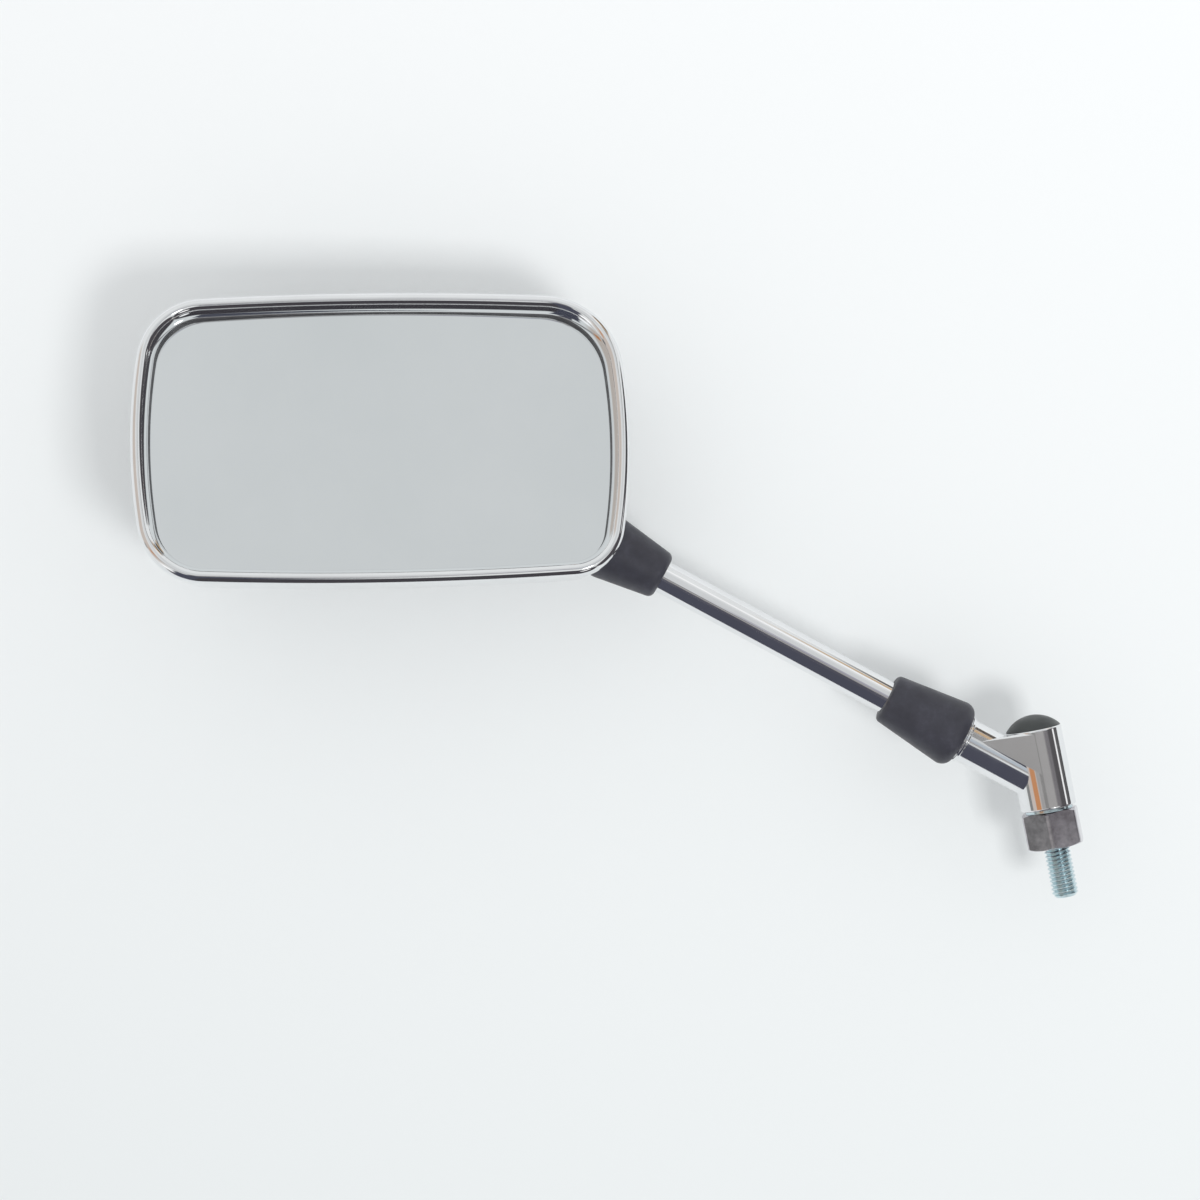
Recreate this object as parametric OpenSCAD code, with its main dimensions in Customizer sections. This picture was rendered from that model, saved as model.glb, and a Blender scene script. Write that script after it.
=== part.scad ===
// Handlebar mirror with a chromed rectangular head, a ball joint at its lower inner corner,
// a straight stem, and a swivelling elbow on a threaded stud.
// Frame: origin at the centre of the hexagon's underside, +Z up along the stud's axis,
// the stem rises toward -X and the glass looks toward -Y. Sizes are in millimetres.

/* [Stud and hexagon] */
// Major diameter of the mounting thread
thread_d = 7.9; // [5.8:0.1:8.4]
// Length of thread below the hexagon
thread_l = 15.5; // [8:0.5:30]
// Chamfer at the free end of a thread
thread_chamfer = 1; // [0.3:0.1:1.5]
// Depth of thread, from crest to the diameter at which engaged threads are drawn
thread_depth = 0.35; // [0.2:0.05:0.5]
// Hexagon width across flats
hex_af = 16.2; // [15:0.1:22]
// Hexagon height
hex_h = 11.2; // [6:0.1:18]
// Turn of the hexagon about the stud
hex_turn = 15.5; // [0:0.1:60]
// Drop of the hexagon's corner chamfer
hex_chamfer = 0.9; // [0.3:0.1:1.5]

/* [Pivot in the barrel] */
// Diameter of the bolt's plain shank
shank_d = 8; // [7.4:0.1:9]
// Bolt head diameter
bolt_head_d = 13; // [11.5:0.1:13.4]
// Bolt head height
bolt_head_h = 5; // [3.5:0.1:6]
// Key recess in the bolt head, across flats
bolt_key_af = 5; // [3:0.5:6]
// Depth of the key recess
bolt_key_depth = 3; // [1:0.1:3.2]
// Thickness of the thrust washer between hexagon and barrel
thrust_t = 0.8; // [0.6:0.1:2.5]
// Outer diameter of the thrust washer
thrust_d = 14.4; // [12:0.1:16.6]
// Wall of the pivot bush
bush_wall = 1; // [0.6:0.1:1.6]
// Thickness of the washers above and below the disc springs
plain_washer_t = 1; // [0.5:0.1:1.5]
// Number of disc springs
disc_count = 4; // [2:1:5]
// Sheet thickness of a disc spring
disc_t = 0.8; // [0.4:0.05:1]
// Height of the cone of a disc spring
disc_cone = 0.5; // [0.2:0.05:0.7]

/* [Elbow casting] */
// Barrel diameter
barrel_d = 17; // [16.4:0.1:22]
// Barrel length
barrel_l = 24.5; // [22:0.1:36]
// Rounding of the barrel's edges
barrel_round = 0.7; // [0.2:0.1:1.2]
// Height at which the stem's axis leaves the stud's axis, above the barrel's foot
neck_rise = 7.9; // [6:0.1:12]
// Elevation of the stem above the horizontal
stem_tilt = 39.5; // [30:0.5:50]
// Neck diameter
neck_d = 13.7; // [12.6:0.1:15]
// Length of the neck, along the stem's axis from the stud's axis
neck_l = 29; // [27:0.5:40]
// Diameter of the collar in front of the rubber cover
collar_d = 14.6; // [14.4:0.1:17]
// Width of the collar
collar_w = 1; // [0.5:0.1:2]
// Height of the web's top face below the barrel's top
web_drop = 0.4; // [0.3:0.1:5]
// Depth of the web's faces below the barrel's side
web_in = 0.1; // [0.05:0.05:0.5]
// Depth of the web's faces below the neck's side, at the web's tip
web_neck_in = 0.25; // [0.1:0.05:0.6]
// Wall between the pocket for the bolt head and the tapped hole in the neck
neck_wall = 1.6; // [1:0.1:3]

/* [Barrel cap] */
// Height of the domed cap
cap_h = 4.1; // [2:0.1:7]
// Depth of the cap's plug in the barrel
cap_plug_l = 2; // [1:0.1:3]

/* [Lock nut] */
// Lock nut width across flats
lock_af = 12; // [11:0.5:12]
// Lock nut height
lock_h = 5; // [3:0.1:7]
// Thickness of the washer under the lock nut
lock_washer_t = 1.6; // [1:0.1:2.5]

/* [Stem] */
// Stem diameter
stem_d = 10; // [9:0.1:12]
// Length from the stud's axis to the ball's centre
stem_l = 164; // [120:1:240]
// Diameter of the threaded lower end of the stem
stem_thread_d = 8; // [6:0.1:8.4]
// Ball diameter
ball_d = 13; // [11.5:0.1:13.4]
// Diameter of the waist behind the ball
waist_d = 7.8; // [5:0.1:8]
// Length of the waist, from the ball's centre
waist_l = 14; // [10:0.5:20]

/* [Nut cover] */
// Length of the rubber cover over the lock nut
cover_l = 25.9; // [20:0.1:40]
// Largest diameter of the cover
cover_d = 20.5; // [18.4:0.1:26]
// Diameter of the cover's small end
cover_tip_d = 15.2; // [13.6:0.1:18]
// Rounding of the cover's lower edge
cover_round = 3.6; // [0.8:0.1:5]
// Length of the cover's grip on the stem
cover_grip_l = 5; // [2:0.5:7]

/* [Neck boot] */
// Length of the boot outside the housing
boot_l = 18.6; // [14:0.1:30]
// Diameter of the boot's small end
boot_tip_d = 15; // [13.4:0.1:17]
// Diameter of the boot where it enters the housing
boot_d = 19.9; // [18.6:0.1:20]
// Rounding of the boot's small end
boot_round = 1.7; // [0.5:0.1:2.2]
// Wall of the boot at the housing
boot_wall = 1.6; // [1:0.1:2]
// Length of the boot's grip on the stem
boot_grip_l = 6; // [2:0.5:8]
// Length of the boot inside the housing
boot_inside_l = 8; // [7.5:0.1:8.5]
// Height of the boot's inner lip
boot_lip = 0.35; // [0.1:0.05:0.5]

/* [Mirror head] */
// Width of the head
head_w = 147; // [130:1:180]
// Height of the head
head_h = 87.8; // [80:0.2:110]
// Depth from the bead's outer edge to the back
head_depth = 46; // [44:0.5:60]
// Radius of the bulged short sides
side_r = 174; // [120:1:400]
// Radius of the bulged long sides
top_r = 1100; // [500:10:3000]
// Corner radius, upper inner
corner_ne = 24; // [14:0.5:26]
// Corner radius, upper outer
corner_nw = 20; // [14:0.5:26]
// Corner radius, lower outer
corner_sw = 20; // [14:0.5:26]
// Corner radius, lower inner, beside the stem
corner_se = 15.8; // [14:0.1:20]
// Turn of the head about the stem
head_twist = -80.3; // [-110:0.1:-60]
// Angle of the stem to the head's long side
stem_angle = 29.7; // [20:0.1:40]
// Distance of the ball from the head's inner side
socket_in = 17.4; // [16.5:0.1:20]
// Distance of the ball from the head's lower side
socket_up = 20.4; // [19:0.1:24]

/* [Housing] */
// Sheet thickness of the housing
shell_t = 0.9; // [0.6:0.1:1.2]
// Width of the rounded shoulder between side and back
shoulder_w = 30; // [20:0.5:31]
// Fullness of the shoulder, 2 is round and more is squarer
shoulder_power = 3; // [2:0.1:4]
// Rise of the domed back
back_dome = 1.2; // [0:0.1:3]

/* [Bezel] */
// Width of the bead
bezel_w = 4.9; // [4.6:0.1:7]
// Height of the bead's crest above its outer edge
bezel_crest = 1.4; // [0.6:0.1:2.5]
// Distance of the crest from the outer edge
bezel_crest_in = 2.1; // [1.8:0.1:2.8]
// Depth of the bead's outer skirt
bezel_skirt = 4; // [2.5:0.1:6]
// Depth of the inner lip below the outer edge
bezel_lip = 4.3; // [3:0.1:6]
// Sheet thickness of the bezel
bezel_t = 0.7; // [0.4:0.05:0.9]

/* [Glass and backing] */
// Glass thickness
glass_t = 3; // [1.9:0.1:4]
// Radius of the glass's curvature
glass_r = 1400; // [800:50:4000]
// Thickness of the rubber seal's walls
seal_t = 0.6; // [0.4:0.05:0.8]
// Width of the seal shown inside the bezel
seal_show = 0.4; // [0.1:0.05:1]
// Thickness of the foam pad
pad_t = 1; // [0.6:0.1:2]
// Thickness of the backing plate
plate_t = 1.2; // [0.8:0.1:2]

/* [Ball socket] */
// Wall of the nylon liner
liner_wall = 1.15; // [0.8:0.05:1.4]
// Wall of the pressed cups
cup_wall = 1.9; // [1:0.1:2.2]
// Largest tilt of the ball in its socket
ball_tilt = 12; // [5:0.5:14]
// Thickness of the clamp's ears
ear_t = 2.5; // [1.5:0.1:3]
// Gap between the clamp's halves
clamp_gap = 0.8; // [0.4:0.1:1.2]
// Spacing of the clamp screws
clamp_pitch = 24; // [23.5:0.1:25]
// Distance of the clamp screws behind the ball
clamp_back = 6; // [4:0.5:7]
// Clamp screw diameter
screw_d = 4; // [3:0.1:4.2]
// Width of the bracket's arm
arm_w = 14; // [10:0.5:16]
// Distance of the bracket's leg behind the ball
leg_back = 28; // [26:0.5:32]
// Length of the bracket's foot
foot_l = 16; // [8:0.5:20]
// Free height of the clamp springs
spring_h = 5; // [3:0.1:5.5]
// Wire of the clamp springs
spring_wire = 0.9; // [0.6:0.05:1]

/* [Clearances] */
// Radial clearance of a running fit
run_gap = 0.05; // [0.02:0.01:0.1]
// Radial clearance of parts fixed together
fix_gap = 0.02; // [0.01:0.01:0.05]
// Gap of soft parts and of seats that don't quite touch
soft_gap = 0.3; // [0.1:0.05:0.4]

/* [Hidden] */
$fn = 64;
e = 0.5;
steel = [0.72, 0.74, 0.76];
chrome = [0.86, 0.87, 0.88];
black = [0.10, 0.10, 0.11];

// Heights in the base, from the hexagon's underside up
barrel_z = hex_h + thrust_t;
barrel_top = barrel_z + barrel_l;
head_top_z = barrel_top - cap_plug_l - soft_gap;
head_under_z = head_top_z - bolt_head_h;
disc_pile = disc_count * (disc_t + disc_cone);
pocket_z = head_under_z - 2 * plain_washer_t - disc_pile;
pocket_d = bolt_head_d + 2 * soft_gap;
bush_d = shank_d + 2 * run_gap + 2 * bush_wall;
neck_z = barrel_z + neck_rise;

// Places along the stem's axis, from the stud's axis
hole_s = (pocket_d / 2 + neck_wall + stem_thread_d / 2 * sin(stem_tilt)) / cos(stem_tilt);
cover_s = neck_l - 0.8;
lock_s = neck_l + lock_washer_t;
rod_s = lock_s + lock_h + 1;
socket_reach = 14;
boot_s = stem_l - socket_reach - boot_l;

// The threads of the stem and stud where they are engaged
function engaged(d) = d - 2 * thread_depth;

// The ball's place from the head's centre
socket_x = head_w / 2 - socket_in;
socket_y = head_h / 2 - socket_up;

// Depths in the head, from the bead's outer edge back
seal_z = bezel_lip;
glass_z = seal_z + seal_t;
glass_in = bezel_w - 2.1;
glass_drop = bow([head_w / 2 - glass_in, head_h / 2 - glass_in]) * 0.9;
pad_z = glass_z + glass_t;
plate_z = pad_z + glass_drop + pad_t;
cup_r = ball_d / 2 + run_gap + liner_wall + run_gap;
socket_r = cup_r + cup_wall;
socket_depth = plate_z + plate_t + 0.8 + socket_r;
foot_z = socket_depth - (head_depth - shell_t);

// How far the curved glass falls back at a point of its plane
function bow(p) = (p.x * p.x + p.y * p.y) / (2 * glass_r);

// A quarter of the head's outline: a side arc, a corner arc and a top arc that meet smoothly
side_n = 3;
corner_n = 8;
top_n = 4;
quarter_n = side_n + corner_n + top_n;
ring_n = 4 * quarter_n;

function quarter(a, b, rs, rt, rc) =
    let (x0 = a - rs, y1 = b - rt, r0 = rs - rc, r1 = rt - rc, d = norm([x0, y1]),
        m = (r0 * r0 - r1 * r1 + d * d) / (2 * d), q = sqrt(r0 * r0 - m * m),
        cx = x0 - m * x0 / d - q * y1 / d, cy = m * y1 / d - q * x0 / d,
        f1 = atan2(cy, cx - x0), f2 = atan2(cy - y1, cx))
    [for (k = [0 : quarter_n])
        k <= side_n ? [x0, 0] + rs * turn(f1 * k / side_n) :
        k <= side_n + corner_n ? [cx, cy] + rc * turn(f1 + (f2 - f1) * (k - side_n) / corner_n) :
        [0, y1] + rt * turn(f2 + (90 - f2) * (k - side_n - corner_n) / top_n)];

function turn(f) = [cos(f), sin(f)];

// Corner radius after an inset: parallel to the edge, or easing off toward the back
function eased(rc, inset, soft) = soft ? rc * rc / (rc + inset) : rc - inset;

function corner_quarter(rc, inset, soft) =
    quarter(head_w / 2 - inset, head_h / 2 - inset, side_r - inset, top_r - inset,
        eased(rc, inset, soft));

// The head's outline at an inset, counter-clockwise from the stem side
function outline(inset, soft = false) =
    let (ne = corner_quarter(corner_ne, inset, soft), nw = corner_quarter(corner_nw, inset, soft),
        sw = corner_quarter(corner_sw, inset, soft), se = corner_quarter(corner_se, inset, soft))
    concat([for (k = [0 : quarter_n - 1]) ne[k]],
        [for (k = [quarter_n : -1 : 1]) [-nw[k].x, nw[k].y]],
        [for (k = [0 : quarter_n - 1]) -sw[k]],
        [for (k = [quarter_n : -1 : 1]) [se[k].x, -se[k].y]]);

// A solid skinned over rings of equal length; closed joins the last ring to the first
module skin(rings, closed = false) {
    n = len(rings[0]);
    m = len(rings);
    sides = [for (j = [0 : closed ? m - 1 : m - 2], k = [0 : n - 1])
        let (a = j * n, b = ((j + 1) % m) * n, l = (k + 1) % n)
        each [[a + k, b + k, b + l], [a + k, b + l, a + l]]];
    caps = closed ? [] : [[for (k = [0 : n - 1]) k], [for (k = [n - 1 : -1 : 0]) (m - 1) * n + k]];
    polyhedron(points = [for (r = rings) each r], faces = concat(sides, caps), convexity = 8);
}

// A ring of the outline, lying back with the glass where follow is 1
function level(inset, z, follow = 0) =
    [for (p = outline(inset)) [p.x, p.y, z - follow * bow(p)]];

// Places a part on the stem's axis, at a distance from the stud's axis, with +Z along the stem
module on_stem(s) {
    translate([0, 0, neck_z]) rotate([0, stem_tilt - 90, 0]) translate([0, 0, s]) children();
}

// The socket's frame: origin at the ball, +X out along the stem, +Z toward the glass
module at_ball() {
    on_stem(stem_l) rotate([0, 0, head_twist]) rotate([0, 90, 0]) children();
}

// The head's frame: origin at the centre of the bead's outer edge, +X to the right as seen
// from the front, +Y up and +Z out of the glass
module in_head() {
    at_ball() rotate([0, 0, stem_angle]) translate([-socket_x, socket_y, socket_depth]) children();
}

// A tube or washer
module tube(d_out, d_in, h) {
    difference() {
        cylinder(d = d_out, h = h);
        translate([0, 0, -e]) cylinder(d = d_in, h = h + 2 * e);
    }
}

// A hexagon with its corners chamfered at both ends
module hexagon(af, h, drop) {
    r = af / 2 / cos(30);
    cone = drop / tan(30);
    intersection() {
        cylinder(r = r, h = h, $fn = 6);
        union() {
            cylinder(r1 = r - cone, r2 = r, h = drop);
            translate([0, 0, drop]) cylinder(r = r, h = h - 2 * drop);
            translate([0, 0, h - drop]) cylinder(r1 = r, r2 = r - cone, h = drop);
        }
    }
}

// Bolt that holds the barrel and ends in the mounting thread
module stud_bolt() {
    color(steel) difference() {
        union() {
            translate([0, 0, -thread_l]) cylinder(d1 = thread_d - 2 * thread_chamfer,
                d2 = thread_d, h = thread_chamfer);
            translate([0, 0, thread_chamfer - thread_l]) cylinder(d = thread_d,
                h = thread_l - thread_chamfer);
            cylinder(d = engaged(thread_d), h = hex_h);
            translate([0, 0, hex_h]) cylinder(d = shank_d, h = head_under_z - hex_h);
            translate([0, 0, head_under_z]) cylinder(d = bolt_head_d, h = bolt_head_h);
        }
        translate([0, 0, head_top_z - bolt_key_depth])
            cylinder(d = bolt_key_af / cos(30), h = bolt_key_depth + e, $fn = 6);
    }
}

// Hexagon tightened on the bolt, the shoulder that seats on the handlebar's boss
module base_nut() {
    sink = thread_depth + 0.25;
    sink_d = thread_d + 0.5;
    color(chrome) difference() {
        rotate([0, 0, hex_turn]) hexagon(hex_af, hex_h, hex_chamfer);
        translate([0, 0, -e]) cylinder(d = engaged(thread_d) + 2 * fix_gap, h = hex_h + 2 * e);
        translate([0, 0, -sink]) cylinder(d1 = sink_d + 2 * sink, d2 = sink_d - 4 * sink, h = 3 * sink);
    }
}

module thrust_washer() {
    color([0.8, 0.78, 0.7]) translate([0, 0, hex_h])
        tube(thrust_d, shank_d + 2 * run_gap, thrust_t);
}

// Plain washers below and above the disc springs
module pivot_washers() {
    color(steel) for (z = [pocket_z, head_under_z - plain_washer_t])
        translate([0, 0, z]) tube(bolt_head_d, shank_d + 2 * run_gap, plain_washer_t);
}

// Disc springs laid back to back, which give the swivel its friction
module disc_springs() {
    r_in = shank_d / 2 + run_gap;
    r_out = bolt_head_d / 2 - 0.2;
    pitch = disc_t + disc_cone;
    color([0.45, 0.46, 0.48]) for (k = [0 : disc_count - 1])
        translate([0, 0, pocket_z + plain_washer_t + k * pitch + (k % 2) * pitch])
            mirror([0, 0, k % 2]) rotate_extrude() polygon([[r_in, disc_cone], [r_out, 0],
                [r_out, disc_t], [r_in, disc_t + disc_cone]]);
}

// Casting: swivel barrel, neck for the stem and the web between them
module arm_casting() {
    color(chrome) difference() {
        union() {
            translate([0, 0, barrel_z]) rotate_extrude() barrel_section();
            on_stem(0) cylinder(d = neck_d, h = neck_l);
            on_stem(cover_s - soft_gap - collar_w) cylinder(d = collar_d, h = collar_w);
            web();
        }
        translate([0, 0, barrel_z - e]) cylinder(d = bush_d + 2 * fix_gap,
            h = pocket_z - barrel_z + 2 * e);
        translate([0, 0, pocket_z]) cylinder(d = pocket_d, h = barrel_top - pocket_z + e);
        on_stem(hole_s) cylinder(d = engaged(stem_thread_d) + 2 * run_gap,
            h = neck_l - hole_s + e);
    }
}

// Flat web in the angle between neck and barrel, with faces that widen toward the barrel
module web() {
    top = barrel_top - web_drop;
    wide = barrel_d / 2 - web_in;
    narrow = neck_d / 2 - web_neck_in;
    root = sqrt(pow(barrel_d / 2, 2) - pow(wide, 2));
    sunk = 0.3;
    seat = sqrt(pow(neck_d / 2, 2) - pow(narrow, 2)) - sunk;
    foot = neck_z + seat / cos(stem_tilt);
    tip = (top - foot) / tan(stem_tilt);
    intersection() {
        linear_extrude(top) polygon([[0, wide], [-root, wide], [-tip, narrow],
            [-tip, -narrow], [-root, -wide], [0, -wide]]);
        rotate([90, 0, 0]) linear_extrude(barrel_d, center = true)
            polygon([[0, foot], [0, top], [-tip, top]]);
    }
}

// Half section of the barrel with rounded edges
module barrel_section() {
    r = barrel_d / 2;
    c = barrel_round;
    steps = 6;
    polygon(concat([[0, 0]],
        [for (k = [0 : steps]) [r - c, c] + c * turn(90 * k / steps - 90)],
        [for (k = [0 : steps]) [r - c, barrel_l - c] + c * turn(90 * k / steps)],
        [[0, barrel_l]]));
}

module pivot_bush() {
    color([0.75, 0.6, 0.3]) translate([0, 0, barrel_z])
        tube(bush_d, shank_d + 2 * run_gap, pocket_z - barrel_z);
}

// Domed cap pressed into the top of the barrel
module barrel_cap() {
    r = barrel_d / 2 - 0.2;
    dome_r = (r * r + cap_h * cap_h) / (2 * cap_h);
    steps = 12;
    rim = asin(r / dome_r);
    color(black) translate([0, 0, barrel_top]) {
        rotate_extrude() polygon(concat([[0, 0]],
            [for (k = [0 : steps]) [0, cap_h - dome_r] + dome_r * turn(90 - rim + rim * k / steps)]));
        translate([0, 0, -cap_plug_l]) tube(pocket_d - 2 * fix_gap, pocket_d - 3, cap_plug_l + 0.2);
    }
}

module lock_washer() {
    color(steel) on_stem(neck_l) tube(lock_af, stem_thread_d + 2 * run_gap, lock_washer_t);
}

// Nut that locks the stem in the neck
module lock_nut() {
    color(steel) on_stem(lock_s) difference() {
        hexagon(lock_af, lock_h, 0.6);
        translate([0, 0, -e]) cylinder(d = engaged(stem_thread_d) + 2 * run_gap, h = lock_h + 2 * e);
    }
}

// Rubber cover that slides down the stem over the lock nut
module nut_cover() {
    r = cover_d / 2;
    tip = cover_tip_d / 2;
    tip_round = 1.4;
    mouth = neck_d / 2 + soft_gap;
    cavity = mouth + 0.9;
    cavity_l = lock_s + lock_h + 1 - cover_s;
    foot_w = r - mouth - 0.1;
    top = [tip - tip_round, cover_l - tip_round];
    steps = 6;
    color(black) on_stem(cover_s) rotate_extrude() polygon(concat(
        [[mouth, 0]],
        [for (k = [0 : steps]) let (f = 90 * k / steps)
            [r - foot_w * (1 - sin(f)), cover_round * (1 - cos(f))]],
        [for (k = [0 : steps]) top + tip_round * turn(90 * k / steps)],
        [[stem_d / 2 + run_gap, cover_l],
        [stem_d / 2 + run_gap, cover_l - cover_grip_l],
        [cavity, cavity_l],
        [cavity, 2.4],
        [mouth, 1.4]]));
}

// Straight stem: threaded lower end, rod, waist and ball
module mirror_stem() {
    step = (stem_d - stem_thread_d) / 2;
    waist_s = stem_l - waist_l;
    color(chrome) on_stem(0) {
        translate([0, 0, hole_s + soft_gap])
            cylinder(d = engaged(stem_thread_d), h = lock_s + lock_h - hole_s - soft_gap);
        translate([0, 0, neck_l]) cylinder(d = stem_thread_d, h = lock_washer_t);
        translate([0, 0, lock_s + lock_h]) cylinder(d = stem_thread_d, h = 1);
        translate([0, 0, rod_s]) cylinder(d1 = stem_thread_d, d2 = stem_d, h = step);
        translate([0, 0, rod_s + step]) cylinder(d = stem_d, h = waist_s - rod_s - step - 1);
        translate([0, 0, waist_s - 1]) cylinder(d1 = stem_d, d2 = waist_d, h = 1);
        translate([0, 0, waist_s]) cylinder(d = waist_d, h = waist_l);
        translate([0, 0, stem_l]) sphere(d = ball_d, $fn = 96);
    }
}

// Rubber boot between the stem and the housing
module neck_boot() {
    r = boot_d / 2;
    tip = boot_tip_d / 2;
    grip = stem_d / 2 + run_gap;
    hollow = r - boot_wall;
    wall_end = boot_l + boot_inside_l - 1.8;
    steps = 6;
    color(black) on_stem(boot_s) rotate_extrude() polygon(concat(
        [[grip, 0]],
        [for (k = [0 : steps]) [tip - boot_round, boot_round] + boot_round * turn(90 * k / steps - 90)],
        [[r, boot_l],
        [r, wall_end],
        [r + boot_lip, wall_end + 0.4],
        [r + boot_lip, boot_l + boot_inside_l],
        [hollow, boot_l + boot_inside_l],
        [hollow, boot_l - 2],
        [grip, boot_grip_l]]));
}

// Cone with its point at the ball and its axis along the stem
module mouth(half_angle, reach) {
    rotate([0, 90, 0]) cylinder(r1 = 0, r2 = reach * tan(half_angle), h = reach);
}

// Nylon liner between the ball and its cups
module ball_liner() {
    inner = ball_d / 2 + run_gap;
    opening = asin(waist_d / 2 / inner) + ball_tilt + 1.5;
    color([0.9, 0.9, 0.86]) at_ball() difference() {
        sphere(r = inner + liner_wall, $fn = 96);
        sphere(r = inner, $fn = 96);
        mouth(opening, inner + liner_wall + 1);
    }
}

// Half of the clamp that holds the lined ball, on the side of the ball given by side
module half_cup(side) {
    opening = asin(waist_d / 2 / cup_r) + ball_tilt + 1.5;
    split = clamp_gap / 2;
    difference() {
        union() {
            intersection() {
                sphere(r = socket_r, $fn = 96);
                translate([-20, -20, side > 0 ? split : -20]) cube([40, 40, 20 - split]);
            }
            translate([0, 0, side > 0 ? split : -split - ear_t]) linear_extrude(ear_t) ears();
        }
        sphere(r = cup_r, $fn = 96);
        mouth(opening, socket_r + 2);
        for (y = [-1, 1]) translate([-clamp_back, y * clamp_pitch / 2, -10])
            cylinder(d = screw_d + 0.3, h = 20);
    }
}

// Plan of the clamp's ears, one at each screw
module ears() {
    ear_r = screw_d / 2 + 2.6;
    for (y = [-1, 1]) translate([-clamp_back, y * clamp_pitch / 2]) circle(r = ear_r);
    translate([-clamp_back - ear_r, -clamp_pitch / 2]) square([2 * ear_r, clamp_pitch]);
}

module clamp_plate() {
    color(steel) at_ball() half_cup(1);
}

// Pressed bracket: rear cup, arm, leg and the foot that is spot welded to the housing
module socket_bracket() {
    top = -clamp_gap / 2;
    foot_top = foot_z + 0.25 + ear_t;
    color(steel) at_ball() union() {
        half_cup(-1);
        difference() {
            translate([-leg_back - ear_t, -arm_w / 2, top - ear_t]) cube([leg_back + ear_t, arm_w, ear_t]);
            sphere(r = cup_r + 0.5, $fn = 96);
        }
        translate([-leg_back - ear_t, -arm_w / 2, foot_top - ear_t])
            cube([ear_t, arm_w, top - foot_top + ear_t]);
        translate([-leg_back - foot_l, -arm_w / 2, foot_top - ear_t]) cube([foot_l, arm_w, ear_t]);
    }
}

// Places something at both clamp screws
module at_screws() {
    at_ball() for (y = [-1, 1]) translate([-clamp_back, y * clamp_pitch / 2, 0]) children();
}

clamp_top = clamp_gap / 2 + ear_t;
nut_h = 3.2;
pan_h = 2.3;

module clamp_screws() {
    color(steel) at_screws() {
        translate([0, 0, -clamp_top - spring_h - nut_h - 0.8])
            cylinder(d = screw_d, h = 2 * clamp_top + spring_h + nut_h + 0.8);
        translate([0, 0, clamp_top]) difference() {
            cylinder(d1 = 2 * screw_d, d2 = 1.7 * screw_d, h = pan_h);
            for (a = [0, 90]) rotate([0, 0, a]) translate([-0.4, -1.4, pan_h - 1.2]) cube([0.8, 2.8, 2]);
        }
    }
}

// Coil springs that keep the clamp closed on the ball
module clamp_springs() {
    turns = 3.5;
    steps = 12;
    rings = turns * steps;
    coil_r = screw_d / 2 + 0.5 + spring_wire / 2;
    rise = spring_h - spring_wire - 0.04;
    color([0.45, 0.46, 0.48]) at_screws()
        translate([0, 0, -clamp_top - spring_h + spring_wire / 2 + 0.02])
        skin([for (k = [0 : rings]) let (f = 360 * k / steps, z = rise * k / rings)
            [for (q = [0 : 7]) let (c = coil_r + spring_wire / 2 * cos(45 * q))
                [c * cos(f), c * sin(f), z - spring_wire / 2 * sin(45 * q)]]]);
}

module clamp_nuts() {
    color(steel) at_screws() translate([0, 0, -clamp_top - spring_h - nut_h]) difference() {
        hexagon(1.75 * screw_d, nut_h, 0.4);
        translate([0, 0, -e]) cylinder(d = screw_d + 2 * fix_gap, h = nut_h + 2 * e);
    }
}

// Section of the housing's wall from the rim to the back, moved inward by a wall
shell_steps = 9;
shell_in = bezel_t + 0.2;
shell_rim = 0.7;
function shell_ring(k, wall) =
    let (f = 90 * k / shell_steps, deep = head_depth - wall - shell_rim,
        d = shell_rim + deep * pow(sin(f), 2 / shoulder_power),
        i = shell_in + wall + shoulder_w * (1 - pow(cos(f), 2 / shoulder_power)))
    [for (p = outline(i, true)) [p.x, p.y, -d]];

// The flat of the back, shrunk toward the centre and domed
function back_ring(scale, wall, dome) =
    [for (p = outline(shell_in + wall + shoulder_w, true))
        [p.x * scale, p.y * scale, wall - head_depth - dome * (1 - scale * scale)]];

// Pressed housing with the hole for the boot
module housing() {
    color(chrome) difference() {
        in_head() skin(concat(
            [for (s = [0.3, 0.65]) back_ring(s, 0, back_dome)],
            [for (k = [shell_steps : -1 : 0]) shell_ring(k, 0)],
            [for (k = [0 : shell_steps]) shell_ring(k, shell_t)]));
        on_stem(boot_s) cylinder(d = boot_d + 2 * run_gap, h = boot_l + boot_inside_l);
    }
}

// Quarter of an ellipse about a point, from angle a to angle b
function bead_arc(c, rx, rz, a, b, steps) =
    [for (k = [0 : steps]) let (f = a + (b - a) * k / steps) [c.x - rx * cos(f), c.y + rz * sin(f)]];

// Bezel rolled over the housing's rim: an outer skirt, a crest and a lip over the seal
module bezel() {
    inner_in = bezel_w - bezel_crest_in;
    outer_z = -1.2;
    outside = bead_arc([bezel_crest_in, outer_z], bezel_crest_in, bezel_crest - outer_z, 0, 90, 4);
    inside = bead_arc([bezel_crest_in, -bezel_lip], inner_in, bezel_crest + bezel_lip, 108, 180, 4);
    under_in = bead_arc([bezel_crest_in, -bezel_lip], inner_in - bezel_t,
        bezel_crest + bezel_lip - bezel_t, 180, 108, 3);
    under_out = bead_arc([bezel_crest_in, outer_z], bezel_crest_in - bezel_t,
        bezel_crest - outer_z - bezel_t, 90, 0, 3);
    section = concat([[0, -bezel_skirt]], outside, inside, under_in, under_out,
        [[bezel_t, -bezel_skirt]]);
    color(chrome) in_head() skin([for (p = section) level(p.x, p.y)], closed = true);
}

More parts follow.
